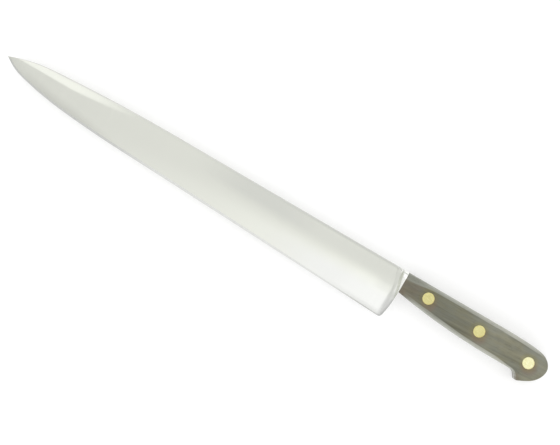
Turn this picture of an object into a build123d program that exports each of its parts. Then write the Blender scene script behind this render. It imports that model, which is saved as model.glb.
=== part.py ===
"""A long carving knife with a forged blade, a full bolster and a riveted wooden handle.

The knife lies on its right side. X runs along it from the point to the butt, Y from the cutting
edge to the spine, and Z through its thickness. While it is drawn, x = 0 is the shoulder where the
wood meets the bolster, y = 0 is the line of the spine and z = 0 is the middle of the steel.
"""

from build123d import *
import os

# The blade, in millimetres, seen from the side
blade_length = 314.4  # point to shoulder
blade_height = 36.6  # spine to the corner of the heel
point_drop = 10.9  # spine line to the point
belly_height = 27.8  # spine line to the edge, where the edge leaves its straight
belly_length = 96.0  # point to that place
spine_fall_length = 131.0  # point to where the spine leaves its straight
spine_fall_shares = ((0.47, 0.125), (0.69, 0.275), (0.845, 0.47), (0.935, 0.735))
spine_point_angle = 19.3  # between the spine at the point and its straight, in degrees
belly_shares = ((0.285, 0.098), (0.57, 0.26), (0.80, 0.505), (0.93, 0.752))
edge_point_angle = 32.7  # between the edge at the point and the spine's straight
heel_lean = 2.3  # how far the heel's corner lies in front of the shoulder
guard_straight = 20.0  # spine to where the back of the guard starts to lean
heel_corner = 2.2  # radius

# The blade's thickness, as half of it on each side of the middle
spine_half = 1.6  # at the shoulder
point_half = 0.42  # at the spine line above the point
edge_half = 0.2  # where the ground sides would meet the edge
grind_bulge = 0.2  # how far each ground side swells past straight, at the shoulder
bevel_reach = 1.9  # depth of the sharpening cut, which runs out in the ground side before that
bevel_angle = 15.0  # of each sharpened side, in degrees
edge_land = 0.03  # half of the width left along the cutting edge

# The bolster, which a grinding wheel hollows out where it runs into the blade
collar_half = 7.0
collar_height = 15.3
wheel_radius = 6.0
wheel_reach = 9.9  # shoulder to the wheel's axis, at the spine
wheel_slant_share = 0.226  # how much nearer the axis comes, as a share of the way down
wheel_bite = 0.05  # how far the wheel cuts below the blade's side

# The handle, seen from the side
handle_length = 115.3  # shoulder to butt
grip_height = 21.9
grip_straight = 37.3  # butt to where the underside starts to rise
crown_length = 36.5  # butt to where the top starts to fall
butt_drop = 11.2  # spine line to the furthest point of the butt
crown_slope_share = 0.02  # fall for each millimetre along, where the crown starts
crown_shares = ((0.615, 0.087), (0.87, 0.324))
beak_height = 27.1  # spine line to the corner of the beak
beak_length = 15.9  # butt to the corner of the beak
palm_shares = ((0.253, 0.573), (0.832, 0.93))
beak_back_angle = 19.5  # between the back of the beak and the spine's straight, in degrees
beak_root = 19.6  # butt to where the beak leaves the grip
beak_hollow = 5.5  # radius in front of the beak
butt_ease = 0.8  # radius along the edges of the butt and the beak
beak_bluntness = 0.2  # how much larger the radius of the beak's corner is than that

# The handle's thickness, as half of it on each side of the middle
handle_half = 9.0
tang_half = 1.5
swell_length = 40.0  # shoulder to where the wood reaches its full thickness
edge_round = 2.4  # radius along the long edges of the wood and the collar

# The rivets, each a socket and a pin pressed together from both sides
rivet_names = ("front", "middle", "rear")
rivet_head_radius = 4.2
rivet_head_depth = 3.2  # from the thickest part of the wood
rivet_tube_radius = 2.5
rivet_pin_radius = 1.6
rivet_pin_length = 8.0
front_rivet_inset = 20.0  # shoulder to the front rivet
rear_rivet_inset = 13.8  # butt to the rear rivet
middle_rivet_share = 0.508  # of the way from the front rivet to the rear one
front_rivet_share = 0.578  # of the collar's height, down from the spine line
rear_rivet_share = 0.46  # of the beak's height, down from the spine line

# Fits
wood_fit = 0.03  # radius that a hole in the wood has over its rivet
tang_fit = 0.25  # radius that a hole in the tang has over its rivet
pin_fit = 0.01  # radius that the socket's bore has over its pin
tube_end_gap = 0.3  # between the tube's end and the pin's head
bore_end_gap = 1.0  # between the pin's end and the bottom of the bore
overrun = 1.0  # how far a cutting shape runs past what it cuts


def along(start, end, shares, first, last):
    """A smooth curve from start to end, through points given as shares of the way."""
    places = [start]
    for across, down in shares:
        x = start[0] + across * (end[0] - start[0])
        y = start[1] + down * (end[1] - start[1])
        places.append((x, y))
    places.append(end)
    return Spline(*places, tangents=(first, last))


def towards_point(angle):
    """A direction that rises this much from straight ahead, towards the blade's point."""
    return Vector(-1, 0).rotate(Axis.Z, -angle)


def corner_at(face, place):
    """The corner of a face that lies at a place."""
    return face.vertices().sort_by_distance(Vector(*place))[0]


def edge_lines():
    """The cutting edge, as its straight run from the heel and the curve up to the point."""
    heel = (-heel_lean, -blade_height)
    belly_start = (belly_length - blade_length, -belly_height)
    point = (-blade_length, -point_drop)
    straight = Line(heel, belly_start)
    last = towards_point(edge_point_angle)
    return straight, along(belly_start, point, belly_shares, straight % 1, last)


def blade_outline():
    """The side of the blade and of the guard behind its heel, up to the shoulder."""
    straight, belly = edge_lines()
    heel = straight @ 0
    point = belly @ 1
    spine_end = (spine_fall_length - blade_length, 0)
    guard_top = (0, -guard_straight)
    last = towards_point(-spine_point_angle)
    lines = [
        Line((0, 0), spine_end),
        along(spine_end, (point.X, point.Y), spine_fall_shares, (-1, 0), last),
        belly,
        straight,
        TangentArc(guard_top, heel, tangent=(0, -1)),
        Line(guard_top, (0, 0)),
    ]
    face = make_face(lines)
    return fillet(corner_at(face, (heel.X, heel.Y)), heel_corner)


def ground_section(x, spine_side, edge_drop):
    """A cut across the ground blade at x, running a little past the spine and the edge."""
    fall = (spine_side - edge_half) / edge_drop
    top = (overrun, spine_side + fall * overrun)
    bottom = (-edge_drop - overrun, edge_half - fall * overrun)
    bulge = grind_bulge * spine_side / spine_half
    middle = ((top[0] + bottom[0]) / 2, (top[1] + bottom[1]) / 2 + bulge)
    left = ThreePointArc(top, middle, bottom)
    right = mirror(left, about=Plane.XZ)
    section = make_face([left, Line(left @ 1, right @ 1), right, Line(right @ 0, left @ 0)])
    return Plane((x, 0, 0), x_dir=(0, 1, 0), z_dir=(1, 0, 0)) * section


def ground_sides():
    """The space between the two ground sides, thinning towards the edge and the point."""
    straight, belly = edge_lines()
    slope = (straight % 0).Y / (straight % 0).X
    far = -blade_length - overrun
    shoulder_section = ground_section(overrun, spine_half, blade_height)
    far_section = ground_section(far, point_half, blade_height - slope * (far + heel_lean))
    return loft([shoulder_section, far_section], ruled=True)


def bevel_cut(edge_line, side):
    """What the whetstone takes off one side along a line of the cutting edge."""
    way = edge_line % 0
    inward = Vector(0, 0, 1).cross(way)
    if inward.Y < 0:
        inward = -inward
    rise = Vector(bevel_reach, 0).rotate(Axis.Z, bevel_angle)
    deep = Vector(rise.X, rise.Y + edge_land)
    shallow = Vector(-rise.X, edge_land - rise.Y)
    clear = spine_half + overrun
    start = edge_line @ 0
    corners = [
        start + inward * deep.X + Vector(0, 0, side * deep.Y),
        start + inward * deep.X + Vector(0, 0, side * clear),
        start + inward * shallow.X + Vector(0, 0, side * clear),
        start + inward * shallow.X + Vector(0, 0, side * shallow.Y),
    ]
    return sweep(make_face(Polyline(*corners, close=True)), path=edge_line)


def blade():
    """The ground and sharpened blade."""
    body = extrude(blade_outline(), spine_half + overrun, both=True) & ground_sides()
    for edge_line in edge_lines():
        for side in (-1, 1):
            body -= bevel_cut(edge_line, side)
    return body


def wheel_axis(y, side):
    """A point on the grinding wheel's axis, which follows the blade's side down from the spine."""
    share = -y / blade_height
    side_half = spine_half + share * (edge_half - spine_half)
    stand = side_half + wheel_radius - wheel_bite
    return Vector(-wheel_reach - wheel_slant_share * y, y, side * stand)


def bolster():
    """The collar in front of the wood and the guard below it, hollowed on both sides."""
    above = wheel_axis(overrun, 1)
    below = wheel_axis(-blade_height - overrun, 1)
    behind_wheel = Polyline(
        (above.X, above.Y), (overrun, above.Y), (overrun, below.Y), (below.X, below.Y), close=True
    )
    side = blade_outline() & make_face(behind_wheel)
    block = extrude(side, collar_half, both=True)
    top_edges = block.edges().filter_by(Axis.X).group_by(Axis.Y)[-1]
    block = fillet(top_edges, edge_round)
    for side in (-1, 1):
        start = wheel_axis(wheel_radius, side)
        end = wheel_axis(-blade_height - wheel_radius, side)
        wheel_path = Plane(start, z_dir=end - start) * Circle(wheel_radius)
        block -= extrude(wheel_path, (end - start).length)
    return block


def underside():
    """The underside of the grip, from its straight stretch up to the collar."""
    rise = (handle_length - grip_straight, -grip_height)
    return TangentArc(rise, (0, -collar_height), tangent=(-1, 0))


def handle_outline():
    """The side of the handle, which wood and tang share, back to the beak at the butt."""
    rising = underside()
    crown = (handle_length - crown_length, 0)
    palm = (handle_length, -butt_drop)
    beak = (handle_length - beak_length, -beak_height)
    root = (handle_length - beak_root, -grip_height)
    last = towards_point(-beak_back_angle)
    lines = [
        Line((0, 0), crown),
        along(crown, palm, crown_shares, (1, -crown_slope_share), (0, -1)),
        along(palm, beak, palm_shares, (0, -1), last),
        Line(beak, root),
        Line(root, rising @ 0),
        rising,
        Line(rising @ 1, (0, 0)),
    ]
    face = make_face(lines)
    face = fillet(corner_at(face, root), beak_hollow)
    return fillet(corner_at(face, beak), butt_ease + beak_bluntness)


def outer_edges(form):
    """The edges round a form's outer faces, apart from those that run straight across it."""
    outer_faces = form.faces().filter_by(lambda face: round(face.normal_at().Z) == 1)
    return outer_faces.edges().filter_by(Axis.Y, reverse=True)


def long_bar():
    """One side of the handle before the butt is shaped: a bar with its long edges rounded."""
    end = handle_length + overrun
    swell = (swell_length, handle_half)
    front = (0, collar_half)
    from_above = [
        Line((0, tang_half), (end, tang_half)),
        Line((end, tang_half), (end, handle_half)),
        Line((end, handle_half), swell),
        TangentArc(swell, front, tangent=(-1, 0)),
        Line(front, (0, tang_half)),
    ]
    above = Plane((0, overrun, 0), x_dir=(1, 0, 0), z_dir=(0, -1, 0))
    slab = extrude(above * make_face(from_above), grip_height + 2 * overrun)
    rising = underside()
    from_the_side = [
        Line((0, 0), (end, 0)),
        Line((end, 0), (end, -grip_height)),
        Line((end, -grip_height), rising @ 0),
        rising,
        Line(rising @ 1, (0, 0)),
    ]
    bar = slab & extrude(make_face(from_the_side), handle_half + overrun)
    return fillet(outer_edges(bar), edge_round)


def wood_form():
    """One side of the handle from the tang out, as if no rivet went through it."""
    beak_start = handle_length - beak_root
    beak_block = Box(
        beak_root + overrun,
        beak_height - grip_height + edge_round + overrun,
        handle_half - tang_half,
        align=(Align.MIN, Align.MAX, Align.MIN),
    )
    blank = long_bar() + Pos(beak_start, edge_round - grip_height, tang_half) * beak_block
    shaped = extrude(handle_outline(), handle_half)
    return blank & fillet(outer_edges(shaped), butt_ease)


def rivet_centres():
    """Where the rivets stand, evenly spaced on one line."""
    front = Vector(front_rivet_inset, -front_rivet_share * collar_height)
    rear = Vector(handle_length - rear_rivet_inset, -rear_rivet_share * beak_height)
    middle = front + (rear - front) * middle_rivet_share
    return (front, middle, rear)


def rod(centre, radius, low, high):
    """A round rod through the thickness of the handle."""
    upright = Cylinder(radius, high - low, align=(Align.CENTER, Align.CENTER, Align.MIN))
    return Pos(centre.X, centre.Y, low) * upright


head_seat = handle_half - rivet_head_depth


def drilled_wood(form):
    """A handle scale, counterbored for the heads and drilled for the tubes."""
    for centre in rivet_centres():
        form -= rod(centre, rivet_head_radius + wood_fit, head_seat, handle_half + overrun)
        form -= rod(centre, rivet_tube_radius + wood_fit, 0, head_seat + overrun)
    return form


def rivet_head(centre, form):
    """A rivet's head, ground flush with the wood around it."""
    return rod(centre, rivet_head_radius, head_seat, handle_half + overrun) & form


def rivet_socket(centre, form):
    """The tubular half of a rivet, from the left side."""
    tube_end = tube_end_gap - head_seat
    bore_end = rivet_pin_length - head_seat + bore_end_gap
    half = rivet_head(centre, form) + rod(centre, rivet_tube_radius, tube_end, head_seat)
    return half - rod(centre, rivet_pin_radius + pin_fit, tube_end - overrun, bore_end)


def rivet_pin(centre, form):
    """The solid half of a rivet, from the right side."""
    head = mirror(rivet_head(centre, form), about=Plane.XY)
    return head + rod(centre, rivet_pin_radius, -head_seat, rivet_pin_length - head_seat)


def forging():
    """Blade, bolster and full tang, one piece of steel."""
    steel = blade() + bolster() + extrude(handle_outline(), tang_half, both=True)
    for centre in rivet_centres():
        steel -= rod(centre, rivet_tube_radius + tang_fit, -tang_half - overrun, tang_half + overrun)
    return steel


form = wood_form()
scale = drilled_wood(form)
pieces = {
    "blade_forging": forging(),
    "left_scale": scale,
    "right_scale": mirror(scale, about=Plane.XY),
}
for name, centre in zip(rivet_names, rivet_centres()):
    pieces[name + "_rivet_socket"] = rivet_socket(centre, form)
    pieces[name + "_rivet_pin"] = rivet_pin(centre, form)

# The origin goes under the middle of the whole knife, on the surface that it lies on
box = Compound(list(pieces.values())).bounding_box()
home = Pos(-box.center().X, -box.center().Y, -box.min.Z)

os.makedirs("parts", exist_ok=True)
for name, piece in pieces.items():
    export_step(home * piece, "parts/" + name + ".step")
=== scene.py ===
import bmesh
import bpy
import math
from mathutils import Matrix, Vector
from mathutils.geometry import delaunay_2d_cdt


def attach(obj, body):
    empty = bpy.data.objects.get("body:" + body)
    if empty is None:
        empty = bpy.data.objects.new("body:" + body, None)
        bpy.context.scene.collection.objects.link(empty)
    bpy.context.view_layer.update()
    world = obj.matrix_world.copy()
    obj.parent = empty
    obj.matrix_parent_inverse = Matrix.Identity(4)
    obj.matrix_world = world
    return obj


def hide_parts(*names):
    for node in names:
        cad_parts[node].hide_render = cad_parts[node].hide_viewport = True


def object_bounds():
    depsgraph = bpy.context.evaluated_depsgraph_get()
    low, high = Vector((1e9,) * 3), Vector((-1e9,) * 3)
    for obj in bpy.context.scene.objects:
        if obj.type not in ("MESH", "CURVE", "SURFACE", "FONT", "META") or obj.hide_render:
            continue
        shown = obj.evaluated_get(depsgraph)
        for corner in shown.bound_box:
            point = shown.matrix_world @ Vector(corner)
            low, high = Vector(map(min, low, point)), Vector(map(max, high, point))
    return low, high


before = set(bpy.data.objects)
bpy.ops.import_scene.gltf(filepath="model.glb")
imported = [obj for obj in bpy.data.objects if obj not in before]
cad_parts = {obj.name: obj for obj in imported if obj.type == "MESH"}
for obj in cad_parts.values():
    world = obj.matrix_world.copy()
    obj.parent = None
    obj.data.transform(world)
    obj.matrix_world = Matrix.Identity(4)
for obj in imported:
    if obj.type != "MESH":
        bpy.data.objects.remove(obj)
cad_low, cad_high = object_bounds()


# The table, the light and the camera.
# The knife lies on a white table in a white light tent. A greyer strip of the tent hangs overhead, so
# the steel shows a grey band, and grey cloths hang low beside it. A soft box lights it from one side.
picture_turn = math.radians(30.33)  # how far the picture is turned against the knife
picture_up = Vector((-math.sin(picture_turn), math.cos(picture_turn), 0))
picture_middle = Vector((0.00521, 0.00308, 0))
picture_width = 0.3864  # what the picture takes in, at the height of the blade
camera_height = 1.5
camera_reach = 20
film_width = 36.0
blade_level = (cad_low.z + cad_high.z) / 2


def placed(name, data):
    """A new object, put in the scene."""
    made = bpy.data.objects.new(name, data)
    bpy.context.scene.collection.objects.link(made)
    return made


camera_data = bpy.data.cameras.new("camera")
camera_data.sensor_width = film_width
camera_data.lens = film_width * (camera_height - blade_level) / picture_width
camera_data.clip_end = camera_reach
camera = placed("camera", camera_data)
camera.location = picture_middle + Vector((0, 0, camera_height))
camera.rotation_euler = (0, 0, picture_turn)
bpy.context.scene.camera = camera
bpy.context.scene.view_settings.view_transform = "Standard"


def node(tree, kind, inputs, **settings):
    """Adds a shader node, sets it up, and fills its inputs with numbers or with other outputs."""
    made = tree.nodes.new("ShaderNode" + kind)
    for name, value in settings.items():
        setattr(made, name, value)
    for name, value in inputs.items():
        if isinstance(value, bpy.types.NodeSocket):
            tree.links.new(value, made.inputs[name])
        else:
            made.inputs[name].default_value = value
    return made


def maths(tree, operation, first, second=0.0):
    """One step of arithmetic on masks."""
    return node(tree, "Math", {0: first, 1: second}, operation=operation).outputs[0]


def scaled(tree, mask, amount, start=0.0):
    """A mask times an amount, on top of a start."""
    return node(tree, "Math", {0: mask, 1: amount, 2: start}, operation="MULTIPLY_ADD").outputs[0]


def times(tree, *masks):
    """The product of several masks."""
    product = masks[0]
    for mask in masks[1:]:
        product = maths(tree, "MULTIPLY", product, mask)
    return product


def rise(tree, value, low, high, bottom=0.0, top=1.0):
    """A mask that rises smoothly from bottom to top while value goes from low to high."""
    inputs = {"Value": value, "From Min": low, "From Max": high, "To Min": bottom, "To Max": top}
    return node(tree, "MapRange", inputs, interpolation_type="SMOOTHSTEP").outputs[0]


def fade(tree, share, first, second):
    """Goes from the first value to the second while the mask goes from 0 to 1."""
    return node(tree, "Mix", {"Factor": share, "A": first, "B": second}).outputs[0]


def parts(tree, place):
    """The three parts of a place or of a direction."""
    return node(tree, "SeparateXYZ", {0: place}).outputs


def new_material(name):
    """A material with nothing in it yet."""
    material = bpy.data.materials.new(name)
    material.use_nodes = True
    material.node_tree.nodes.clear()
    return material


# How bright the tent is in each direction, where 1 is white. A direction has a part towards the butt,
# a part towards the spine and a part up, each between -1 and 1.
point_grey, blade_white, blade_drop = 0.72, 1.02, 0.135
edge_grey, edge_white, edge_change, edge_middle = 0.73, 1.36, 3.1, 1.145
spine_white = 1.18
point_side, butt_side, spine_side = 0.86, 1.06, 0.3
cloth_grey = 0.60
world = bpy.data.worlds.new("light_tent")
bpy.context.scene.world = world
world.use_nodes = True
tent = world.node_tree
tent.nodes.clear()
to_butt, to_spine, up = parts(tent, node(tent, "TexCoord", {}).outputs["Generated"])
rays = node(tent, "LightPath", {}).outputs

over_blade = rise(tent, to_butt, -0.135, -0.095, point_grey, blade_white)
over_blade = maths(tent, "SUBTRACT", over_blade, rise(tent, to_butt, -0.085, 0.0, 0.0, blade_drop))
over_edge = maths(tent, "MAXIMUM", scaled(tent, to_butt, edge_change, edge_middle), edge_grey)
over_edge = maths(tent, "MINIMUM", over_edge, edge_white)
strip = fade(tent, rise(tent, to_spine, -0.09, -0.02), over_edge, over_blade)
strip = fade(tent, rise(tent, to_spine, 0.02, 0.08), strip, spine_white)

beyond_spine = rise(tent, to_spine, 0.1, 0.3)
sides = rise(tent, to_butt, -0.45, 0.25, point_side, butt_side)
sides = scaled(tent, beyond_spine, spine_side, sides)
below_strip = rise(tent, up, 0.79, 0.90, 1.0, 0.0)
unmirrored = rise(tent, to_butt, 0.05, 0.45, 0.22, 0.40)  # what the metal doesn't mirror of that side
unmirrored = times(tent, unmirrored, below_strip, beyond_spine, rays["Is Glossy Ray"])
sides = maths(tent, "SUBTRACT", sides, unmirrored)
low_down = times(tent, rise(tent, up, 0.36, 0.50, 1.0, 0.0), rise(tent, up, 0.0, 0.12))
beside = rise(tent, maths(tent, "ABSOLUTE", to_spine), 0.40, 0.75)
sides = fade(tent, times(tent, low_down, beside), sides, cloth_grey)

tone = fade(tent, rise(tent, up, 0.86, 0.96), sides, strip)
brightness = fade(tent, rays["Is Camera Ray"], tone, 1.0)
backdrop = node(tent, "Background", {"Color": (1, 1, 1, 1), "Strength": brightness})
node(tent, "OutputWorld", {"Surface": backdrop.outputs[0]})

lamp_away, lamp_height = 1.3, 0.9
lamp_data = bpy.data.lights.new("soft_box", "AREA")
lamp_data.shape = "RECTANGLE"
lamp_data.size = 1.6
lamp_data.size_y = 1.2
lamp_data.energy = 6.3
lamp = placed("soft_box", lamp_data)
lamp.location = -lamp_away * picture_up + Vector((0, 0, lamp_height))
lamp.rotation_euler = (-lamp.location).to_track_quat("-Z", "Y").to_euler()
lamp.visible_glossy = False  # the metal mirrors the tent alone

table_half = 4.0
table_white = (0.68, 0.68, 0.68, 1)
table_glow = 0.37  # added only where the camera, metal or glass looks at it
table_corners = ((-1, -1), (1, -1), (1, 1), (-1, 1))
table_mesh = bpy.data.meshes.new("table")
table_mesh.from_pydata([(x * table_half, y * table_half, 0) for x, y in table_corners], [], [(0, 1, 2, 3)])
table = placed("table", table_mesh)
paper = new_material("white_paper")
tree = paper.node_tree
paper_face = node(tree, "BsdfDiffuse", {"Color": table_white})
rays = node(tree, "LightPath", {}).outputs
looked_at = maths(tree, "MAXIMUM", rays["Is Camera Ray"], rays["Is Glossy Ray"])
looked_at = maths(tree, "MAXIMUM", looked_at, rays["Is Transmission Ray"])
paper_glow = node(tree, "Emission", {"Color": (1, 1, 1, 1), "Strength": scaled(tree, looked_at, table_glow)})
paper_both = node(tree, "AddShader", {0: paper_face.outputs[0], 1: paper_glow.outputs[0]})
node(tree, "OutputMaterial", {"Surface": paper_both.outputs[0]})
table_mesh.materials.append(paper)


# The blade, the bolster and the tang.
# The real piece is one steel forging. The blade is ground thin to its edge on both sides, a grinding
# wheel has hollowed the bolster, and the flat tang runs back between the scales to the butt.
MM = 0.001
handle_length = 115.3
home_x = cad_high.x / MM - handle_length  # the shoulder, where the wood meets the bolster
home_y = cad_high.y / MM  # the line of the spine
home_z = blade_level / MM  # the middle of the steel


def at_home(x, y, z):
    """A place drawn in millimetres from the shoulder, the spine and the middle of the steel."""
    return Vector((x + home_x, y + home_y, z + home_z)) * MM


def from_home(place):
    """The same the other way round, without the height."""
    return Vector((place.x / MM - home_x, place.y / MM - home_y))


def smoothly(share):
    """A smooth rise from 0 to 1 while share goes from 0 to 1."""
    share = max(0.0, min(1.0, share))
    return share * share * (3 - 2 * share)


def smooth_line(places, first, last, count):
    """Points along the smooth curve that goes through the places and leaves and ends as told."""
    knots = [Vector(place) for place in places]
    gaps = [(b - a).length for a, b in zip(knots, knots[1:])]
    steps = [(b - a) / gap for a, b, gap in zip(knots, knots[1:], gaps)]
    ways = [Vector(first).normalized()]
    shares = [0.0]
    for before, after, gap_before, gap_after in zip(steps, steps[1:], gaps, gaps[1:]):
        middle = 2 * (gap_before + gap_after) - gap_after * shares[-1]
        wanted = 3 * (gap_after * before + gap_before * after) - gap_after * ways[-1]
        shares.append(gap_before / middle)
        ways.append(wanted / middle)
    ways.append(Vector(last).normalized())
    for n in reversed(range(1, len(knots) - 1)):
        ways[n] = ways[n] - shares[n] * ways[n + 1]
    line = []
    for n, gap in enumerate(gaps):
        for k in range(count):
            t = k / count
            line.append(
                knots[n] * (1 + 2 * t) * (1 - t) ** 2
                + ways[n] * gap * t * (1 - t) ** 2
                + knots[n + 1] * t * t * (3 - 2 * t)
                + ways[n + 1] * gap * t * t * (t - 1)
            )
    return line + [knots[-1]]


def through(start, end, shares):
    """Places on the way from start to end, given as shares of the way."""
    between = [(start[0] + a * (end[0] - start[0]), start[1] + d * (end[1] - start[1])) for a, d in shares]
    return [start, *between, end]


def towards_point(angle):
    """A direction that rises this much from straight ahead, towards the blade's point."""
    return (-math.cos(math.radians(angle)), math.sin(math.radians(angle)))


# The blade seen from the side
blade_length = 314.4
blade_height = 36.6
point = (-blade_length, -10.9)
belly_start = (-218.4, -27.8)
spine_end = (-183.4, 0.0)
heel = (-2.3, -blade_height)
guard_top = (0.0, -20.0)
heel_corner = 2.2
spine_shares = ((0.47, 0.125), (0.69, 0.275), (0.845, 0.47), (0.935, 0.735))
belly_shares = ((0.285, 0.098), (0.57, 0.26), (0.80, 0.505), (0.93, 0.752))
spine_last, belly_last = towards_point(-19.3), towards_point(32.7)  # how they come to the point
curve_steps = 40
spine_line = smooth_line(through(spine_end, point, spine_shares), (-1, 0), spine_last, curve_steps)
edge_way = Vector((belly_start[0] - heel[0], belly_start[1] - heel[1])).normalized()
edge_slope = edge_way.y / edge_way.x
belly_line = smooth_line(through(belly_start, point, belly_shares), edge_way, belly_last, curve_steps)


def guard_back(count):
    """The back of the guard, from the shoulder down and round the corner of the heel."""
    drop = guard_top[1] - heel[1]
    radius = (heel[0] ** 2 + drop**2) / (-2 * heel[0])
    centre = Vector((-radius, guard_top[1]))
    inward = Vector((edge_way.y, -edge_way.x))
    start = Vector(heel) + inward * heel_corner - centre
    forward = start.dot(edge_way)
    run = -forward - math.sqrt(forward**2 - start.dot(start) + (radius - heel_corner) ** 2)
    corner = centre + start + edge_way * run
    lean = math.asin((centre.y - corner.y) / (radius - heel_corner))
    back = [lean * n / count for n in range(count)]
    first, last = 2 * math.pi - lean, math.atan2(inward.y, inward.x) + math.pi
    turn = [first + (last - first) * n / count for n in range(count + 1)]
    line = [centre + radius * Vector((math.cos(angle), -math.sin(angle))) for angle in back]
    return line + [corner + heel_corner * Vector((math.cos(angle), math.sin(angle))) for angle in turn]


# The lower outline, from the point along the edge, round the heel and up to the top of the shoulder
guard_steps = 24
guard_line = guard_back(guard_steps)
shoulder = [Vector((0.0, float(y))) for y in range(int(guard_top[1]) + 1, 1)]
lower_line = belly_line[::-1] + guard_line[::-1] + shoulder

# The thickness, as half of it on each side of the middle
spine_half = 1.6
point_half = 0.42
edge_half = 0.2
edge_land = 0.03
bevel_slope = math.tan(math.radians(18.0))
spine_ease = 0.3
top_ease_from, top_ease_length = -10.0, 4.0  # where that grows into the rounding of the collar's top
upper_share = 0.15  # how steep the flatter upper part of the side is beside the lower part
turn_from, turn_to = 0.21, 0.585  # where the side turns from flatter to steeper, as shares of its height
swage_start, swage_full = -208.0, -264.0  # near the point the side also turns up towards the spine
swage_drop = 9.6  # spine line to where it turns
swage_slope = math.tan(math.radians(2.7))
swage_blend = 2.0
swage_dip, swage_growth = 0.42, 0.8  # powers by which its turn comes down and its slope grows
collar_half = 7.0
collar_round = 4.0
wheel_radius = 6.0
wheel_reach = 9.9
wheel_lean = 0.226
wheel_bite = 0.05
hollow_blend = 0.12  # thickness over which the hollow runs out in the blade's side
collar_ease = 0.8  # radius of the eased edge between the hollow and the collar
flare_start = -5.85  # the side already swells here, towards the guard and the collar
flare_rate = 0.030
flare_fade = 4.0  # height above the edge in which the swell runs out


def height_at(line, x):
    """How high a line of the outline lies at x."""
    for a, b in zip(line, line[1:]):
        if min(a.x, b.x) <= x <= max(a.x, b.x) and a.x != b.x:
            return a.y + (b.y - a.y) * (x - a.x) / (b.x - a.x)
    return min(line, key=lambda place: abs(place.x - x)).y


def run_in(share):
    """What a smooth rise from 0 to 1 has added up to at a share of its way, or past its end."""
    if share <= 0:
        return 0.0
    return share**3 - share**4 / 2 if share < 1 else share - 0.5


def thinning(down):
    """How much of its thickness the side has lost at a share of the way down."""
    width = turn_to - turn_from
    whole = upper_share + (1 - upper_share) * width * run_in((1 - turn_from) / width)
    here = upper_share * down + (1 - upper_share) * width * run_in((down - turn_from) / width)
    return here / whole


def ground_half(x, y):
    """Half of the ground blade's thickness, which thins towards the edge and the point."""
    top = spine_half - (spine_half - point_half) * -x / (blade_length + 1)
    depth = blade_height + edge_slope * min(x - heel[0], 0)
    half = top + (edge_half - top) * thinning(-y / depth)
    painted_point_rim_shade = max(0.0, min(1.0, (swage_start - x) / (swage_start - swage_full)))
    above_turn = y + swage_drop * painted_point_rim_shade**swage_dip
    return half - swage_slope * painted_point_rim_shade**swage_growth * swage_blend * run_in(above_turn / swage_blend)


def rounding(radius, inward):
    """How much a rounded edge takes off a face at a distance inward from its side."""
    return radius - math.sqrt(max(radius**2 - (radius - inward) ** 2, 0))


def hollow_half(x, y):
    """Half of the thickness that the grinding wheel leaves between the blade and the collar."""
    past_axis = x + wheel_reach + wheel_lean * y
    if past_axis <= 0:
        return 0.0
    past_wall = past_axis - wheel_radius
    if past_wall >= 0:
        return collar_half - rounding(collar_ease, min(past_wall, collar_ease))
    side = spine_half + (-y / blade_height) * (edge_half - spine_half)
    wall = side + wheel_radius - wheel_bite - math.sqrt(wheel_radius**2 - past_axis**2)
    return min(collar_half - collar_ease, wall)


def steel_half(x, y, edge_y, steepness):
    """Half of the steel's thickness at a place seen from the side."""
    whetted = edge_land + (y - edge_y) * steepness * bevel_slope
    flare = flare_rate * max(0.0, x - flare_start) ** 2 * smoothly((y - edge_y) / flare_fade)
    side = min(ground_half(x, y), whetted) + flare
    hollow = hollow_half(x, y)
    if hollow == 0:
        return side
    near = max(hollow_blend - abs(side - hollow), 0) / hollow_blend
    return max(side, hollow) + near * near * hollow_blend / 4


def crossing(top_x, lean):
    """Where a slanting line down from the spine meets the lower outline."""
    for a, b in zip(lower_line, lower_line[1:]):
        side_a = a.x - top_x + lean * a.y
        side_b = b.x - top_x + lean * b.y
        if side_a <= 0 <= side_b and side_a != side_b:
            return a + (b - a) * (-side_a / (side_b - side_a))
    return lower_line[-1]


# The steel is drawn as cuts across it, closer together towards the point and in the hollow
blade_steps = 150
draw_together = 1.5  # the power by which the cuts come closer towards the point
plain_from, plain_to = -30, -11
cut_shares = [(n / blade_steps) ** draw_together for n in range(1, blade_steps + 1)]
blade_cuts = [-blade_length + (blade_length + plain_from) * share for share in cut_shares]
plain_cuts = [float(x) for x in range(plain_from + 1, plain_to + 1)]
hollow_cuts = (
    [-0.8, -0.4] + [0.3 * n for n in range(8)] + [2.5, 3.0, 3.5, 4.0, 4.4, 4.8, 5.1, 5.4, 5.6, 5.75]
    + [5.85, 5.92, 5.96, 5.985, 6.01, 6.15] + [6.5 + 0.5 * n for n in range(6)] + [9.4, 9.7]
)
cuts = blade_cuts + plain_cuts + [past - wheel_reach for past in hollow_cuts]

ease_steps = 4
ease_rows = [spine_ease * (1 - math.cos(math.pi / 2 * n / ease_steps)) for n in range(ease_steps + 1)]
upper_rows = ease_rows + [0.5, 0.75, 1.05, 1.4, 1.8, 2.4, 3.2]
side_rows = 24
rows_over_bevel = (1.2, 0.4)
bevel_rows = 3
row_count = len(upper_rows) + side_rows - 1 + len(rows_over_bevel) + bevel_rows
bevel_most = 0.45  # as a share of the cut
guard_bevel = 0.6  # the last rows on the guard, where there is no bevel
short_blade = 12.0  # where the blade is lower than this, near the point, the rows draw together
lean_from, lean_full = -60.0, -15.0  # towards the bolster the cuts come to lean as the wheel did
sharp_end = -4.0  # the edge is whetted up to here


def rows_down(length, bevel):
    """How far down a cut its points lie, closer together at the spine and at the bevel."""
    short = min(1.0, length / short_blade)
    upper = [row * short for row in upper_rows]
    bevel = min(bevel, length * bevel_most)
    lower = [length - bevel - gap * short for gap in rows_over_bevel]
    lower += [length - bevel, length - bevel / 2, length]
    start, stop = upper[-1], lower[0]
    return upper + [start + (stop - start) * n / side_rows for n in range(1, side_rows)] + lower


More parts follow.
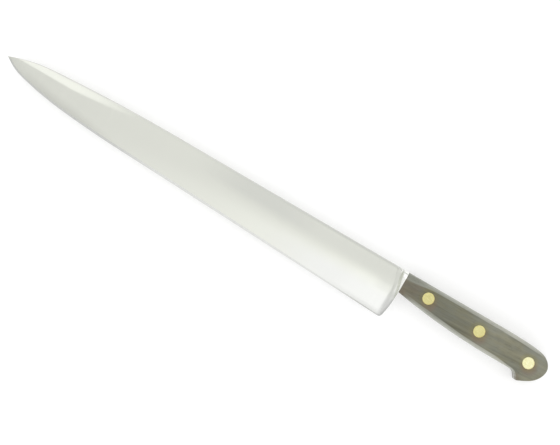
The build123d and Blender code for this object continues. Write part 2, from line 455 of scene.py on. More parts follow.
def steel_cut(top_x):
    """The points down one cut: where each is, seen from the side, and half of the thickness there."""
    lean = wheel_lean * max(0.0, min(1.0, (top_x - lean_from) / (lean_full - lean_from)))
    top = Vector((top_x, 0.0 if top_x >= spine_end[0] else height_at(spine_line, top_x)))
    low = crossing(top_x, lean)
    length = (low - top).length
    sharp = low.x < sharp_end
    steepness = abs(edge_way.x)
    if low.x < belly_start[0]:
        close_by = 0.5
        steepness = abs((low - crossing(top_x - close_by, lean)).normalized().x)
    bevel = guard_bevel
    tries = 6 if sharp else 0
    for _ in range(tries):
        bevel_top = ground_half(top_x + lean * -(low.y + bevel), low.y + bevel)
        bevel = (bevel_top - edge_land) / (steepness * bevel_slope)
    points = []
    for depth in rows_down(length, bevel):
        place = top + (low - top) * (depth / length)
        edge_y = low.y if sharp else heel[1] + (place.x - heel[0]) * edge_slope
        half = steel_half(place.x, place.y, edge_y, steepness)
        down = top.y - place.y
        by_collar = smoothly((place.x - top_ease_from) / top_ease_length)
        ease = spine_ease * min(1.0, length / short_blade)
        ease += (min(collar_round, half) - spine_ease) * by_collar
        if down < ease:
            half = max(half - rounding(ease, down), edge_land)
        if down < collar_round:
            half = min(half, collar_half - rounding(collar_round, down))
        points.append((place, half))
    if sharp:
        points[-1] = (points[-1][0], edge_land)
    return points, sharp


satin, honed, ground = 0, 1, 2
steels = [new_material(name) for name in ("satin_steel", "honed_steel", "ground_steel")]


def new_piece(name, shape, materials):
    """Makes an object from a finished mesh and puts it in the scene."""
    mesh = bpy.data.meshes.new(name)
    shape.to_mesh(mesh)
    shape.free()
    for material in materials:
        mesh.materials.append(material)
    return placed(name, mesh)


def steel_shell():
    """The closed skin of the blade and the bolster."""
    shell = bmesh.new()
    columns = []
    for top_x in cuts:
        points, sharp = steel_cut(top_x)
        left = [shell.verts.new(at_home(place.x, place.y, half)) for place, half in points]
        right = [shell.verts.new(at_home(place.x, place.y, -half)) for place, half in points]
        columns.append((left, right, sharp, top_x))
    for (left_a, right_a, sharp_a, _), (left_b, right_b, sharp_b, top_x) in zip(columns, columns[1:]):
        for n in range(row_count - 1):
            left = shell.faces.new((left_a[n], left_b[n], left_b[n + 1], left_a[n + 1]))
            right = shell.faces.new((right_a[n + 1], right_b[n + 1], right_b[n], right_a[n]))
            if n >= row_count - bevel_rows and sharp_a and sharp_b:
                left.material_index = right.material_index = honed
            elif n < ease_steps and top_x < plain_to:
                left.material_index = right.material_index = ground
        spine = shell.faces.new((right_a[0], right_b[0], left_b[0], left_a[0]))
        spine.material_index = ground if top_x < plain_to else satin
        shell.faces.new((left_a[-1], left_b[-1], right_b[-1], right_a[-1]))
    first_left, first_right, _, _ = columns[0]
    tip = shell.verts.new(at_home(point[0], point[1], 0))
    around = first_left + first_right[::-1]
    for a, b in zip(around, around[1:] + around[:1]):
        shell.faces.new((a, b, tip))
    last_left, last_right, _, _ = columns[-1]
    for n in range(row_count - 1):
        shell.faces.new((last_left[n], last_right[n], last_right[n + 1], last_left[n + 1]))
    bmesh.ops.recalc_face_normals(shell, faces=shell.faces)
    return shell


# The handle seen from the side, which the tang and both scales share
collar_height = 15.3
grip_height = 21.9
butt_drop = 11.2
beak_height = 27.1
crown_length, grip_straight = 36.5, 37.3  # these and the next two are measured from the butt
beak_length, root_length = 15.9, 19.6
beak_angle = 19.5
beak_round = 1.0
beak_hollow = 5.5
grip_end = handle_length - grip_straight
crown = (handle_length - crown_length, 0.0)
crown_shares = ((0.615, 0.087), (0.87, 0.324))
palm = (handle_length, -butt_drop)
palm_shares = ((0.253, 0.573), (0.832, 0.93))
beak = (handle_length - beak_length, -beak_height)
beak_root = (handle_length - root_length, -grip_height)
top_step, under_start, under_step = 4, 88, 3
bow_steps, under_steps, beak_steps, root_steps = 14, 24, 6, 8


def round_corner(before, corner, after, radius, count):
    """The arc that rounds the corner between two straight lines."""
    corner = Vector(corner)
    first = (Vector(before) - corner).normalized()
    second = (Vector(after) - corner).normalized()
    half_angle = first.angle(second) / 2
    middle = corner + (first + second).normalized() * (radius / math.sin(half_angle))
    start = corner + first * (radius / math.tan(half_angle)) - middle
    end = corner + second * (radius / math.tan(half_angle)) - middle
    spread = start.angle(end)
    turns = [spread * n / count for n in range(count + 1)]
    return [middle + (start * math.sin(spread - t) + end * math.sin(t)) / math.sin(spread) for t in turns]


def underside(count):
    """The underside of the grip, from its straight stretch up to the collar."""
    climb = grip_height - collar_height
    radius = (grip_end**2 + climb**2) / (2 * climb)
    places = [grip_end * (1 - n / count) for n in range(count + 1)]
    return [Vector((x, radius - grip_height - math.sqrt(radius**2 - (grip_end - x) ** 2))) for x in places]


top_line = [Vector((x, 0.0)) for x in range(0, int(crown[0]), top_step)]
top_line += smooth_line(through(crown, palm, crown_shares), (1, -0.02), (0, -1), bow_steps)
palm_line = smooth_line(through(palm, beak, palm_shares), (0, -1), towards_point(-beak_angle), bow_steps)
palm_low = palm_line[-8]  # from here the palm runs almost straight to the beak
beak_turn = round_corner(palm_low, beak, beak_root, beak_round, beak_steps)
kept = (beak_turn[0] - Vector(beak)).length
palm_line = [place for place in palm_line[1:-1] if (place - Vector(beak)).length > kept]
straight_end = (grip_end, -grip_height)
lower_turn = beak_turn + round_corner(beak, beak_root, straight_end, beak_hollow, root_steps)
straight_under = [Vector((x, -grip_height)) for x in range(under_start, int(grip_end), -under_step)]
handle_line = top_line + palm_line + lower_turn + straight_under + underside(under_steps)

tang_half = 1.5
tang_stub = 3.0  # how far the tang is drawn into the bolster, so that the two join in one piece
tang_inset = 0.02
rivet_spots = {"front": (20.0, -8.8434), "middle": (61.402, -10.6836), "rear": (101.5, -12.466)}
tang_hole = 2.75
drill_reach = 4
sharp_turn = 32  # degrees over which an edge stays sharp


def slab(line, low, high):
    """A flat plate with this outline."""
    plate = bmesh.new()
    below = [plate.verts.new(at_home(place[0], place[1], low)) for place in line]
    above = [plate.verts.new(at_home(place[0], place[1], high)) for place in line]
    plate.faces.new(below)
    plate.faces.new(above[::-1])
    for n in range(len(line)):
        m = (n + 1) % len(line)
        plate.faces.new((below[n], below[m], above[m], above[n]))
    bmesh.ops.recalc_face_normals(plate, faces=plate.faces)
    return plate


def circle(centre, radius, count=64):
    """The outline of a drill."""
    turns = [2 * math.pi * n / count for n in range(count)]
    return [(centre[0] + radius * math.cos(turn), centre[1] + radius * math.sin(turn)) for turn in turns]


def cut_or_join(target, tool, operation):
    """Joins a shape to the target or cuts it away, and leaves only the result."""
    step = target.modifiers.new(operation.lower(), "BOOLEAN")
    step.object = tool
    step.operation = operation
    step.solver = "EXACT"
    shaped = bpy.data.meshes.new_from_object(target.evaluated_get(bpy.context.evaluated_depsgraph_get()))
    target.modifiers.clear()
    target.data = shaped
    bpy.data.objects.remove(tool)


def drill(target, spot, radius, low, high):
    """Drills a straight hole."""
    cut_or_join(target, new_piece("drill", slab(circle(spot, radius), low, high), []), "DIFFERENCE")


def shade(piece, laid_out):
    """Shades the piece smooth with its sharp edges kept, and lays out what its materials follow."""
    mesh = bmesh.new()
    mesh.from_mesh(piece.data)
    for face in mesh.faces:
        face.smooth = True
    for edge in mesh.edges:
        if len(edge.link_faces) == 2:
            one, other = edge.link_faces
            two_finishes = {one.material_index, other.material_index} == {satin, honed}
            edge.smooth = not (two_finishes or edge.calc_face_angle() > math.radians(sharp_turn))
    for name, place_of in laid_out.items():
        layer = mesh.loops.layers.uv.new(name)
        for vert in mesh.verts:
            spot = place_of(vert.co)
            for corner in vert.link_loops:
                corner[layer].uv = spot
    mesh.to_mesh(piece.data)
    mesh.free()
    piece.data.name = piece.name


blade = new_piece("blade_forging_steel", steel_shell(), steels)
tang_line = [(-tang_stub, -tang_inset), *handle_line, (-tang_stub, tang_inset - collar_height)]
tang_plate = slab(tang_line, -tang_half, tang_half)
for face in tang_plate.faces:
    face.material_index = ground
tang = new_piece("tang", tang_plate, steels)
for spot in rivet_spots.values():
    drill(tang, spot, tang_hole, -drill_reach, drill_reach)
cut_or_join(blade, tang, "UNION")


def below_spine(place):
    """For the material: how far along the blade a place is, and how far below the spine."""
    spot = from_home(place)
    spine_y = 0.0 if spot.x > spine_end[0] else height_at(spine_line, spot.x)
    return (place.x, (spine_y - spot.y) * MM)


def by_lower_edges(place):
    """For the material: how far a place is from the back of the guard, and how far above the edge."""
    spot = from_home(place)
    to_guard = min((spot - on_guard).length for on_guard in guard_line)
    edge_y = heel[1] + (spot.x - heel[0]) * edge_slope
    if spot.x < belly_start[0]:
        edge_y = height_at(belly_line, spot.x)
    return (to_guard * MM, (spot.y - edge_y) * MM)


steel_layout = {
    "lay_of_the_marks": lambda place: (place.x, place.y + place.z),
    "below_the_spine": below_spine,
    "by_lower_edges": by_lower_edges,
}
shade(blade, steel_layout)

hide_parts("blade_forging")
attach(blade, "root")


def blend(tree, share, first, second, kind="MIX"):
    """Mixes two colours by a mask."""
    return node(tree, "Mix", {0: share, 6: first, 7: second}, data_type="RGBA", blend_type=kind).outputs[2]


def new_effect(name, inputs, output):
    """An empty shader group for an effect that several materials share."""
    effect = bpy.data.node_groups.new(name, "ShaderNodeTree")
    for label, kind in inputs.items():
        effect.interface.new_socket(label, in_out="INPUT", socket_type="NodeSocket" + kind)
    effect.interface.new_socket(output, in_out="OUTPUT", socket_type="NodeSocketFloat")
    entry = effect.nodes.new("NodeGroupInput").outputs
    leave = effect.nodes.new("NodeGroupOutput").inputs[output]
    return effect, entry, leave


def use(tree, effect, **inputs):
    """Places a shared effect in a material with its own values."""
    return node(tree, "Group", inputs, node_tree=effect).outputs[0]


def noise(tree, place, fineness, detail, roughness=0.5):
    """Soft random tones, of which a metre holds about as many as fineness says."""
    inputs = {"Vector": place, "Scale": fineness, "Detail": detail, "Roughness": roughness}
    return node(tree, "TexNoise", inputs).outputs


def place_maths(tree, operation, first, second):
    """One step of arithmetic on places."""
    return node(tree, "VectorMath", {0: first, 1: second}, operation=operation).outputs[0]


# Marks drawn out in one direction: the lay of a grinding belt, scratches or the grain of wood.
# Turn is the angle in the plane of the blade, Fine is how many marks a metre has along each axis.
marks_inputs = {
    "Place": "Vector", "Turn": "Float", "Fine": "Vector", "Wander": "Float", "Low": "Float", "High": "Float"
}
drawn_marks, entry, leave = new_effect("drawn_out_marks", marks_inputs, "Marks")
wander = noise(drawn_marks, entry["Place"], 14.0, 1.0)["Color"]
wander = place_maths(drawn_marks, "SUBTRACT", wander, (0.5, 0.5, 0.5))
wander = node(drawn_marks, "VectorMath", {0: wander, "Scale": entry["Wander"]}, operation="SCALE").outputs[0]
turned = {"Vector": place_maths(drawn_marks, "ADD", entry["Place"], wander), "Angle": entry["Turn"]}
turned = node(drawn_marks, "VectorRotate", turned, rotation_type="Z_AXIS").outputs[0]
drawn_out = place_maths(drawn_marks, "MULTIPLY", turned, entry["Fine"])
marks = noise(drawn_marks, drawn_out, 1.0, 3.0, 0.6)["Fac"]
drawn_marks.links.new(rise(drawn_marks, marks, entry["Low"], entry["High"]), leave)

# Soft cloudy patches: where hands have dulled the metal or the wood has taken up more wax.
cloud_inputs = {"Place": "Vector", "Fine": "Float", "Low": "Float", "High": "Float"}
clouds, entry, leave = new_effect("soft_clouds", cloud_inputs, "Clouds")
cloud = noise(clouds, entry["Place"], entry["Fine"], 2.0)["Fac"]
clouds.links.new(rise(clouds, cloud, entry["Low"], entry["High"]), leave)


def own_place(tree):
    """Where a point of the surface lies, in metres."""
    return node(tree, "TexCoord", {}).outputs["Object"]


def streaks(tree, place, fine, low=0.3, high=0.7, turn=0.0, wander=0.0):
    """Drawn-out marks in a material: none where their noise is under low, full where it is over high."""
    run = {"Place": place, "Turn": turn, "Fine": fine, "Wander": wander}
    return use(tree, drawn_marks, **run, Low=low, High=high)


def layout(tree, name):
    """The two distances that a piece was laid out with."""
    across, down, _ = parts(tree, node(tree, "UVMap", {}, uv_map=name).outputs[0])
    return across, down


def along(tree, place, start, end, bottom=0.0, top=1.0):
    """A mask that changes along the knife, between places in millimetres from the shoulder."""
    return rise(tree, place, (home_x + start) * MM, (home_x + end) * MM, bottom, top)


def away(tree, distance, start, end, bottom=0.0, top=1.0):
    """A mask that changes with a distance, such as that below the spine, in millimetres."""
    return rise(tree, distance, start * MM, end * MM, bottom, top)


def relief(tree, height, strength, depth):
    """The normal of marks this deep, in millimetres."""
    return node(tree, "Bump", {"Height": height, "Strength": strength, "Distance": depth * MM}).outputs[0]


def surface(tree, colour, dullness, normal, **plain):
    """The shader that a material ends in."""
    inputs = {"Base Color": colour, "Roughness": dullness, "Normal": normal, **plain}
    node(tree, "OutputMaterial", {"Surface": node(tree, "BsdfPrincipled", inputs).outputs[0]})


# The satin finish of the blade and the bolster: fine marks straight across, dulled by handling, with painted
# shade and painted highlights where the steel mirrors darker and brighter light
satin_light = (0.803, 0.815, 0.747, 1)
satin_dark = (0.783, 0.795, 0.729, 1)
satin_heel = (0.798, 0.805, 0.79, 1)  # the lower side by the heel, which mirrors the brightest light
painted_highlight_white = (0.95, 0.96, 0.915, 1)
scratch_light = (0.90, 0.90, 0.87, 1)
# Grey painted in for shade, below the spine and before the bolster
painted_shade_grey = (0.60, 0.61, 0.58, 1)
spine_rim_shade_grey = (0.45, 0.455, 0.43, 1)
edge_shade_grey = (0.62, 0.62, 0.62, 1)
guard_shade = (0.70, 0.70, 0.70, 1)
long_turn = math.radians(4)
tree = steels[satin].node_tree
spot = own_place(tree)
x, below = layout(tree, "below_the_spine")
from_guard, above_edge = layout(tree, "by_lower_edges")
belt_marks = streaks(tree, spot, (2600, 55, 900))
broad_marks = streaks(tree, spot, (420, 18, 200))
long_scratches = streaks(tree, spot, (14, 2600, 900), 0.72, 0.76, long_turn, 0.002)
smudges = use(tree, clouds, Place=spot, Fine=55.0, Low=0.35, High=0.7)
lay = scaled(tree, broad_marks, 0.4, scaled(tree, belt_marks, 0.6))
colour = blend(tree, lay, satin_dark, satin_light)
colour = blend(tree, scaled(tree, long_scratches, 0.35), colour, scratch_light)

# Painted shade: a greyer band below the spine in the middle of the blade, for a darker reflection there
painted_spine_band_shade = times(tree, along(tree, x, -174.5, -119.5), along(tree, x, -104.5, -59.5, 1.0, 0.35))
painted_spine_band_shade = times(tree, painted_spine_band_shade, away(tree, below, 8, 16, 0.42, 0.0))
colour = blend(tree, painted_spine_band_shade, colour, painted_shade_grey)
# Painted shade: a darker rim along the eased spine, and along the spine towards the point
painted_spine_rim_shade = times(tree, away(tree, below, 0.2, 2.6, 1.0, 0.0), along(tree, x, -109.5, -49.5, 0.11, 0.42))
painted_point_rim_shade = times(tree, away(tree, below, 0.1, 1.6, 0.38, 0.0), along(tree, x, -244.5, -224.5, 1.0, 0.0))
painted_spine_rim_shade = times(tree, maths(tree, "MAXIMUM", painted_spine_rim_shade, painted_point_rim_shade), along(tree, x, -289.5, -274.5))
colour = blend(tree, painted_spine_rim_shade, colour, spine_rim_shade_grey)
by_heel = times(tree, along(tree, x, -120, -40, 0.0, 0.85), away(tree, below, 14, 26))
colour = blend(tree, by_heel, colour, satin_heel)

# Painted shade: darker steel in a band just above the edge, beside the heel and along the belly
edge_shade_width = along(tree, x, -262, -205, 0.009, 0.005)
belly_edge_shade = times(tree, along(tree, x, -262, -205, 0.42, 0.0), along(tree, x, -304, -278, 0.45, 1.0))
painted_edge_shade = maths(tree, "MAXIMUM", along(tree, x, -60, -4, 0.0, 0.5), belly_edge_shade)
painted_edge_shade = times(tree, painted_edge_shade, rise(tree, above_edge, 0.0, edge_shade_width, 1.0, 0.0))
colour = blend(tree, painted_edge_shade, colour, edge_shade_grey, "MULTIPLY")
# Painted shade along the back of the guard, low down by the heel
painted_guard_shade = times(tree, away(tree, from_guard, 0, 2, 1.0, 0.0), away(tree, below, 20.5, 23.5))
colour = blend(tree, painted_guard_shade, colour, guard_shade, "MULTIPLY")
# Painted shade: a greyer patch at mid height just before the bolster, where its flare mirrors darker light
painted_bolster_shade = times(tree, along(tree, x, -20, -11, 0.0, 0.25), away(tree, below, 10, 14))
painted_bolster_shade = times(tree, painted_bolster_shade, away(tree, below, 18, 22, 1.0, 0.0))
colour = blend(tree, painted_bolster_shade, colour, painted_shade_grey)
# Painted highlight: near-white steel on the collar and on the rounded top corner of the bolster, which catch
# the bright light
collar_highlight = times(tree, along(tree, x, -4, -2), away(tree, below, 14.5, 19.5, 1.0, 0.0))
top_corner_highlight = times(tree, along(tree, x, -8, -5, 0.0, 0.4), away(tree, below, 1.8, 4, 1.0, 0.0))
colour = blend(tree, maths(tree, "MAXIMUM", collar_highlight, top_corner_highlight), colour, painted_highlight_white)

dullness = scaled(tree, smudges, 0.02, scaled(tree, lay, 0.035, 0.152))
normal = relief(tree, maths(tree, "ADD", lay, long_scratches), 0.1, 0.004)
lay_of_marks = node(tree, "Tangent", {}, direction_type="UV_MAP", uv_map="lay_of_the_marks").outputs[0]
surface(tree, colour, dullness, normal, Tangent=lay_of_marks, Metallic=1.0, Anisotropic=0.9)

# The bevels, which a whetstone has left duller, with painted shade towards the point and beside the heel
honed_light = (0.82, 0.83, 0.80, 1)
honed_dark = (0.72, 0.725, 0.70, 1)
painted_heel_shade_grey = (0.56, 0.565, 0.54, 1)
belly_shade = (0.80, 0.80, 0.80, 1)
stone_turn = math.radians(25)
tree = steels[honed].node_tree
spot = own_place(tree)
x = parts(tree, spot)["X"]
stone_marks = streaks(tree, spot, (2200, 160, 900), turn=stone_turn)
colour = blend(tree, stone_marks, honed_dark, honed_light)
# Painted shade on the bevel towards the point and beside the heel
colour = blend(tree, along(tree, x, -235, -175, 1.0, 0.0), colour, belly_shade, "MULTIPLY")
colour = blend(tree, along(tree, x, -48, -11), colour, painted_heel_shade_grey)
dullness = scaled(tree, stone_marks, 0.08, 0.26)
surface(tree, colour, dullness, relief(tree, stone_marks, 0.2, 0.01), Metallic=1.0)

# The spine and the edges of the tang, ground along their length and not polished
ground_light = (0.66, 0.665, 0.63, 1)
ground_dark = (0.52, 0.525, 0.49, 1)
ground_stain = (0.30, 0.28, 0.23, 1)
tree = steels[ground].node_tree
spot = own_place(tree)
x = parts(tree, spot)["X"]
long_marks = streaks(tree, spot, (60, 900, 3500))
stains = use(tree, clouds, Place=spot, Fine=130.0, Low=0.5, High=0.75)
stains = times(tree, stains, along(tree, x, -4, 0, 0.12, 0.6))
colour = blend(tree, stains, blend(tree, long_marks, ground_dark, ground_light), ground_stain)
dullness = scaled(tree, long_marks, 0.1, 0.3)
surface(tree, colour, dullness, relief(tree, long_marks, 0.2, 0.01), Metallic=1.0)


# The two wooden scales.
# Slabs of dark close-grained hardwood, one on each side of the tang. They are riveted on and then
# shaped together with the steel, and years of use have rubbed their long edges round and paler.
# The pale of those edges is painted, partly for that wear and partly for the sheen of light on the rounding.
wood_front_half = collar_half
wood_half = 9.0
swell_length = 40.0  # shoulder to where the wood reaches its full thickness
long_edge_round = 2.5
front_edge_round = 5.2  # beside the collar
front_round_length = 26.0
butt_round = 0.9
head_radius = 4.2
head_gap = 0.05
head_seat = 5.8  # half of the thickness between the heads' seats
tube_hole = 2.53
drill_start, drill_end, overrun = 1.0, 11.0, 0.5
wood_grid = 1.6
grid_gap = 0.6 * wood_grid  # what the grid's points keep from the border
same_place = 1e-5
inward_most = 3.0  # what the material is told of places far from the edge

# Along the handle: where the rounding of the edges and their pale, which is wear and painted sheen, begin to
# change, and where they end
top_narrows, under_widens = (98, 115), (95, 76)
grip_widens, grip_narrows, grip_extra = (12, 24), (56, 38), 0.35
top_pale_end, under_pale_start, under_pale_end = (104, 113), (2, 16), (102, 93)

swell_radius = (swell_length**2 + (wood_half - wood_front_half) ** 2) / (2 * (wood_half - wood_front_half))


def wood_top(x):
    """Half of the handle's thickness, which swells back from the collar."""
    if x >= swell_length:
        return wood_half
    return wood_half - swell_radius + math.sqrt(swell_radius**2 - (swell_length - x) ** 2)


def passing(x, places):
    """Rises smoothly from 0 to 1 between two places along the handle."""
    start, end = places
    return smoothly((x - start) / (end - start))


first_below = len(top_line) + len(palm_line)  # where the line round the handle turns to its underside


def edge_round(number):
    """The radius to which the edge is rounded at a point of the line round the handle."""
    x = handle_line[number].x
    if number < len(top_line):
        front = (front_edge_round - long_edge_round) * (1 - smoothly(x / front_round_length))
        return long_edge_round + front - (long_edge_round - butt_round) * passing(x, top_narrows)
    if number < first_below:
        return butt_round
    wider = grip_extra * passing(x, grip_widens) * passing(x, grip_narrows)
    return butt_round + (long_edge_round - butt_round) * passing(x, under_widens) + wider


def edge_wear_and_sheen(number):
    """How pale the edge is painted at a point of the line round the handle, for its wear and for the sheen
    of light on its rounding.
    """
    x = handle_line[number].x
    if number < len(top_line):
        return 1 - passing(x, top_pale_end)
    return passing(x, under_pale_start) * passing(x, under_pale_end) if number >= first_below else 0.0


def inward_ways():
    """The direction into the wood, square to the line round the handle at each of its points."""
    ways = []
    for before, after in zip([handle_line[0]] + handle_line[:-1], handle_line[1:] + [handle_line[-1]]):
        way = (after - before).normalized()
        ways.append(Vector((way.y, -way.x)))
    lean = ways[-1].y
    ways[0], ways[-1] = Vector((0.0, -1.0)), Vector((0.0, 1 / lean))
    return ways


def deep_inside(spot, border):
    """Whether a place lies inside the border and not too close to it."""
    crossings = 0
    for a, b in zip(border, border[1:] + border[:1]):
        if (a.y > spot.y) != (b.y > spot.y) and spot.x < a.x + (b.x - a.x) * (spot.y - a.y) / (b.y - a.y):
            crossings += 1
    return crossings % 2 == 1 and min((spot - place).length for place in border) > grid_gap


def scale_body(side):
    """The closed body of one scale, from the tang out, before it is drilled."""
    body = bmesh.new()
    ways = inward_ways()
    numbers = range(len(handle_line))
    round_steps = 8
    rings = [[body.verts.new(at_home(*handle_line[n], side * tang_half)) for n in numbers]]
    for step in range(round_steps + 1):
        turn = math.pi / 2 * step / round_steps
        ring = []
        for n in numbers:
            radius = edge_round(n)
            place = handle_line[n] + ways[n] * (radius * (1 - math.cos(turn)))
            ring.append((place, wood_top(place.x) - radius * (1 - math.sin(turn))))
        rings.append([body.verts.new(at_home(*place, side * high)) for place, high in ring])
    for low, high in zip(rings, rings[1:]):
        for n in numbers[1:]:
            body.faces.new((low[n - 1], low[n], high[n], high[n - 1]))
    rim = [handle_line[n] + ways[n] * edge_round(n) for n in numbers]
    front_count = int((rim[0].y - rim[-1].y) / wood_grid)
    front = [rim[-1] + (rim[0] - rim[-1]) * n / front_count for n in range(1, front_count)]
    border = rim + front
    inside = []
    for column in range(1, int(handle_length / wood_grid)):
        for row in range(int(beak_height / wood_grid) + 1):
            spot = Vector((column * wood_grid, -wood_grid * (row + (column % 2) / 2)))
            if deep_inside(spot, border):
                inside.append(spot)
    loop = [(n, (n + 1) % len(border)) for n in range(len(border))]
    flat_places, _, flat_faces, came_from, _, _ = delaunay_2d_cdt(border + inside, loop, [], 1, same_place)
    face_verts = []
    for place, sources in zip(flat_places, came_from):
        source = sources[0] if sources else len(border)
        if source < len(rim):
            face_verts.append(rings[-1][source])
        else:
            face_verts.append(body.verts.new(at_home(place.x, place.y, side * wood_top(place.x))))
    for corners in flat_faces:
        body.faces.new([face_verts[n] for n in corners])
    by_source = {sources[0]: n for n, sources in enumerate(came_from) if sources}
    front_verts = [face_verts[by_source[len(rim) + n]] for n in range(len(front))]
    body.faces.new([ring[0] for ring in rings] + front_verts[::-1] + [ring[-1] for ring in rings[::-1]])
    body.faces.new(rings[0])
    bmesh.ops.recalc_face_normals(body, faces=body.faces)
    return body


def rubbed_edge(place):
    """For the material: how pale the nearest edge is painted, for wear and sheen, and how far in the place
    lies from it.
    """
    spot = from_home(place)
    nearest = min(range(len(handle_line)), key=lambda n: (handle_line[n] - spot).length_squared)
    gap = math.inf
    for n in (nearest - 1, nearest):
        if 0 <= n < len(handle_line) - 1:
            a, b = handle_line[n], handle_line[n + 1]
            share = max(0.0, min(1.0, (spot - a).dot(b - a) / (b - a).length_squared))
            gap = min(gap, (spot - a - (b - a) * share).length)
    return (edge_wear_and_sheen(nearest), min(gap / edge_round(nearest), inward_most))


wood = new_material("dark_wood")
drills = ((tube_hole, drill_start, head_seat + overrun), (head_radius + head_gap, head_seat, drill_end))
for name, side in (("left_scale", 1), ("right_scale", -1)):
    scale = new_piece(name + "_wood", scale_body(side), [wood])
    for spot in rivet_spots.values():
        for radius, start, end in drills:
            drill(scale, spot, radius, *sorted((side * start, side * end)))
    shade(scale, {"rubbed_edge": rubbed_edge})
    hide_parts(name)
    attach(scale, "root")

# How far a place is from the middle of the nearest rivet, in metres, seen from the side
from_rivets, entry, leave = new_effect("from_the_rivets", {"Place": "Vector", "Shift": "Vector"}, "Distance")
seen_flat = place_maths(from_rivets, "SUBTRACT", entry["Place"], entry["Shift"])
seen_flat = place_maths(from_rivets, "MULTIPLY", seen_flat, (1, 1, 0))
nearest = 1.0
for spot in rivet_spots.values():
    middle = at_home(*spot, 0)
    middle.z = 0
    gap = node(from_rivets, "VectorMath", {0: seen_flat, 1: middle}, operation="DISTANCE").outputs["Value"]
    nearest = maths(from_rivets, "MINIMUM", gap, nearest)
from_rivets.links.new(nearest, leave)

wood_dark = (0.090, 0.092, 0.064, 1)
wood_light = (0.183, 0.187, 0.141, 1)
wood_rear_pale = (0.264, 0.270, 0.228, 1)  # paler towards the rear of the grip
wood_red = (0.165, 0.118, 0.090, 1)
wood_pore = (0.045, 0.040, 0.026, 1)
lower_shade_grey = (0.84, 0.84, 0.84, 1)
warm_shade = (1.06, 1.0, 0.84, 1)
brassy_shade = (1.05, 1.0, 0.72, 1)
edge_outer = (0.435, 0.443, 0.393, 1)
edge_inner = (0.287, 0.295, 0.249, 1)
edge_rear = (0.62, 0.61, 0.53, 1)
edge_front = (0.230, 0.238, 0.197, 1)
grain_turn = math.radians(-2.5)
tree = wood.node_tree
spot = own_place(tree)
x, y, _ = parts(tree, spot)
below = maths(tree, "SUBTRACT", home_y * MM, y)
wear_and_sheen_share, inward = layout(tree, "rubbed_edge")
broad_grain = streaks(tree, spot, (9, 330, 330), turn=grain_turn, wander=0.004)
fine_grain = streaks(tree, spot, (45, 1700, 1700), turn=grain_turn, wander=0.002)
pores = streaks(tree, spot, (190, 5200, 5200), 0.60, 0.68, grain_turn, 0.001)
warm = streaks(tree, spot, (75, 200, 200), turn=grain_turn)
uneven = streaks(tree, spot, (60, 260, 260), 0.2, 0.8)
patches = use(tree, clouds, Place=spot, Fine=90.0, Low=0.3, High=0.7)
grain = scaled(tree, fine_grain, 0.45, scaled(tree, broad_grain, 0.55))
colour = blend(tree, grain, wood_dark, wood_light)

# The grip grows paler towards its rear, in patches, less so below the rear rivet
kept_darker = times(tree, away(tree, below, 12, 16, 0.0, 0.7), along(tree, x, 72, 82))
kept_darker = times(tree, kept_darker, along(tree, x, 98, 108, 1.0, 0.0))
rear_lightening = times(tree, along(tree, x, 42, 80, 0.0, 0.4), scaled(tree, patches, 0.8, 0.45))
rear_lightening = times(tree, rear_lightening, maths(tree, "SUBTRACT", 1.0, kept_darker))
colour = blend(tree, rear_lightening, colour, wood_rear_pale)
# Painted shade: the front half of the grip darker towards its lower side, where less light falls
painted_lower_shade = times(tree, away(tree, below, 5, 14), along(tree, x, 50, 75, 1.0, 0.0))
colour = blend(tree, painted_lower_shade, colour, lower_shade_grey, "MULTIPLY")
colour = blend(tree, warm, colour, warm_shade, "MULTIPLY")
beside_rivets = use(tree, from_rivets, Place=spot, Shift=(0.0018, -0.0026, 0))
red = maths(tree, "MAXIMUM", away(tree, beside_rivets, 4.0, 7.2, 0.65, 0.0), along(tree, x, 3, 20, 0.7, 0.0))
red_beak = times(tree, away(tree, below, 21, 25, 0.0, 0.8), along(tree, x, 97, 104, 1.0, 0.0))
red = times(tree, maths(tree, "MAXIMUM", red, red_beak), scaled(tree, patches, 0.6, 0.3))
colour = blend(tree, red, colour, wood_red)

# Painted sheen on the rounded long edges, on top of their real wear: palest at the outside of the rounding
# and at the rear, darker at the front of the upper edge
edge_colour = blend(tree, rise(tree, inward, 0.15, 0.75), edge_outer, edge_inner)
paler_rear = times(tree, along(tree, x, 25, 95, 0.0, 0.4), along(tree, x, 84, 96, 1.0, 0.4))
edge_colour = blend(tree, paler_rear, edge_colour, edge_rear)
darker_front_edge = times(tree, along(tree, x, 5, 22, 1.0, 0.0), away(tree, below, 7, 11, 1.0, 0.0))
darker_front_edge = times(tree, darker_front_edge, rise(tree, inward, 0.03, 0.22, 0.2, 1.0))
edge_colour = blend(tree, darker_front_edge, edge_colour, edge_front)
pale_wear_and_sheen = times(tree, rise(tree, inward, 0.86, 1.06, 1.0, 0.0), wear_and_sheen_share, scaled(tree, uneven, 0.25, 0.75))
pale_wear_and_sheen = times(tree, pale_wear_and_sheen, rise(tree, inward, 0.0, 0.06, 0.6, 1.0))
colour = blend(tree, pale_wear_and_sheen, colour, edge_colour)

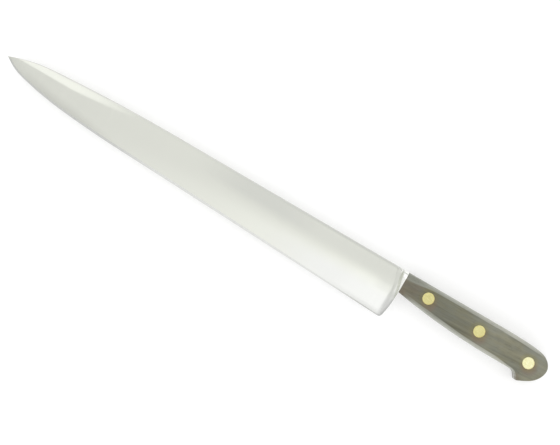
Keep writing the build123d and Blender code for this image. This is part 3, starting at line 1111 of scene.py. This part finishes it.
round_rivets = use(tree, from_rivets, Place=spot)
colour = blend(tree, away(tree, round_rivets, 4.5, 8.0, 0.9, 0.0), colour, brassy_shade, "MULTIPLY")
grime = maths(tree, "MAXIMUM", away(tree, round_rivets, 4.3, 5.0, 0.25, 0.0), scaled(tree, pores, 0.65))
colour = blend(tree, grime, colour, wood_pore)
dullness = scaled(tree, pores, 0.15, scaled(tree, fine_grain, 0.12, 0.36))
raised = maths(tree, "SUBTRACT", scaled(tree, fine_grain, 0.4), pores)
surface(tree, colour, dullness, relief(tree, raised, 0.3, 0.1))


# The three rivets.
# Each is a brass socket from one side and a brass pin from the other, pressed together. Their heads
# are ground flush with the wood, and the rear one is painted brighter, for the brighter light it mirrors.
brass_light = (0.76, 0.71, 0.335, 1)
brass_dark = (0.63, 0.575, 0.25, 1)
rear_reflection_light = (0.92, 0.91, 0.60, 1)
rear_reflection_dark = (0.83, 0.80, 0.44, 1)
brass_scratch = (0.95, 0.92, 0.62, 1)
brass_rim = (0.55, 0.40, 0.14, 1)
sanding_turn = math.radians(20)
scratch_turn = math.radians(-55)
brass = new_material("worn_brass")
tree = brass.node_tree
spot = own_place(tree)
x = parts(tree, spot)["X"]
sanding = streaks(tree, spot, (160, 2600, 500), turn=sanding_turn)
scratches = streaks(tree, spot, (90, 3000, 500), 0.62, 0.70, scratch_turn)
clouding = use(tree, clouds, Place=spot, Fine=420.0, Low=0.35, High=0.7)
tone = scaled(tree, clouding, 0.4, scaled(tree, sanding, 0.6))
colour = blend(tree, tone, brass_dark, brass_light)
# Painted reflection: the rear rivet is brighter, for the brighter light that it mirrors
colour = blend(tree, along(tree, x, 75, 90), colour, blend(tree, tone, rear_reflection_dark, rear_reflection_light))
colour = blend(tree, scaled(tree, scratches, 0.35), colour, brass_scratch)
off_centre = use(tree, from_rivets, Place=spot, Shift=(-0.0002, 0.0002, 0))
colour = blend(tree, away(tree, off_centre, 3.6, 4.6, 0.0, 0.6), colour, brass_rim)
dullness = scaled(tree, sanding, 0.06, 0.20)
raised = maths(tree, "SUBTRACT", scaled(tree, sanding, 0.3), scratches)
surface(tree, colour, dullness, relief(tree, raised, 0.2, 0.01), Metallic=1.0)
for name in rivet_spots:
    for half in ("_rivet_socket", "_rivet_pin"):
        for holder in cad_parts[name + half].material_slots:
            holder.material = brass
